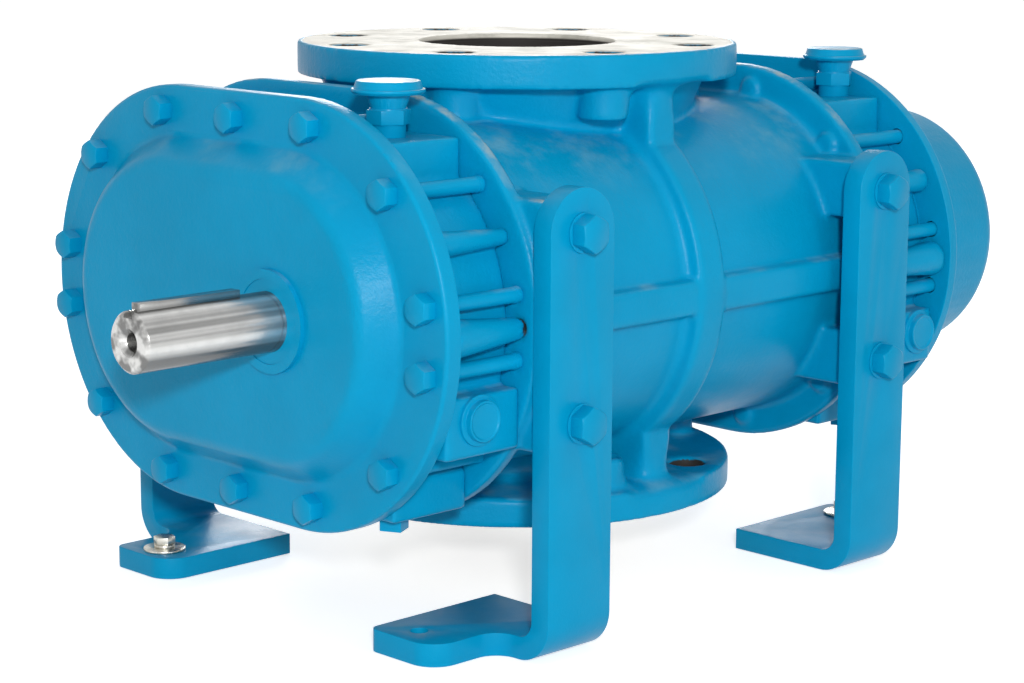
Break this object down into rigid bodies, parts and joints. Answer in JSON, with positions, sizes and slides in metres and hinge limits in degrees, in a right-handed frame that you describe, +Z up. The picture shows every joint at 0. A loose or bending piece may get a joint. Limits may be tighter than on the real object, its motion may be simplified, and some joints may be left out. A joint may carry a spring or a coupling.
{
  "type": "rotary lobe blower",
  "caption": "Rotary lobe blower: a flanged casing with two meshing rotors, oil-filled end covers, a keyed drive shaft and bent-bar legs.",
  "frame": {"origin": "on the floor under the middle of the port flanges", "axes": "+Z up along the port axis, -Y along the drive shaft towards its tip, +X to the right seen from the drive end"},
  "size_m": [0.332, 0.5595, 0.2755],
  "materials": {
    "blue_paint": "gloss",
    "bright_steel": "satin",
    "ground_steel": "satin",
    "cast_iron": "matte",
    "black_rubber": "matte",
    "clear_glass": "gloss"
  },
  "bodies": {
    "housing": {"rotor_casing": "blue_paint", "drive_headplate": "blue_paint", "gear_headplate": "blue_paint", "drive_end_cover": "blue_paint", "gear_cover": "blue_paint", "drive_cover_bolts": "blue_paint", "gear_cover_bolts": "blue_paint", "drive_cover_gasket": "black_rubber", "gear_cover_gasket": "black_rubber", "drive_dowels": "ground_steel", "gear_dowels": "ground_steel", "drive_breather_body": "blue_paint", "drive_breather_cap": "blue_paint", "gear_breather_body": "blue_paint", "gear_breather_cap": "blue_paint", "drive_sight_body": "blue_paint", "gear_sight_body": "blue_paint", "drive_sight_pane": "clear_glass", "gear_sight_pane": "clear_glass", "drive_drain_plug": "blue_paint", "gear_drain_plug": "blue_paint", "drive_pipe_plugs": "blue_paint", "gear_pipe_plugs": "blue_paint", "leg_drive_right": "blue_paint", "leg_drive_left": "blue_paint", "leg_gear_right": "blue_paint", "leg_gear_left": "blue_paint", "leg_bolts": "blue_paint", "leg_washers": "blue_paint", "bearing_outer_races": "ground_steel", "drive_end_lip_seals": "black_rubber", "gear_end_lip_seals": "black_rubber", "shaft_seal": "black_rubber"},
    "drive_rotor": {"drive_rotor_lobes": "cast_iron", "drive_shaft": "bright_steel", "shaft_key": "bright_steel", "drive_timing_gear": "ground_steel", "drive_gear_key": "ground_steel", "drive_gear_spacer": "ground_steel", "drive_locknut": "ground_steel", "drive_bearing_inner_races": "ground_steel", "drive_bearing_rollers": "ground_steel"},
    "driven_rotor": {"driven_rotor_lobes": "cast_iron", "driven_shaft": "bright_steel", "driven_timing_gear": "ground_steel", "driven_gear_key": "ground_steel", "driven_gear_spacer": "ground_steel", "driven_locknut": "ground_steel", "gear_end_slinger": "ground_steel", "drive_end_slinger": "ground_steel", "driven_bearing_inner_races": "ground_steel", "driven_bearing_rollers": "ground_steel"}
  },
  "joints": [
    {"name": "drive_shaft_spin", "type": "hinge", "parent": "housing", "child": "drive_rotor", "pos_m": [0.045, 0, 0.157], "axis": [0, 1, 0], "continuous": true},
    {"name": "driven_rotor_spin", "type": "hinge", "parent": "housing", "child": "driven_rotor", "pos_m": [-0.045, 0, 0.157], "axis": [0, 1, 0], "continuous": true}
  ],
  "couplings": [
    {"joint": "driven_rotor_spin", "follows": "drive_shaft_spin", "ratio": -1}
  ]
}
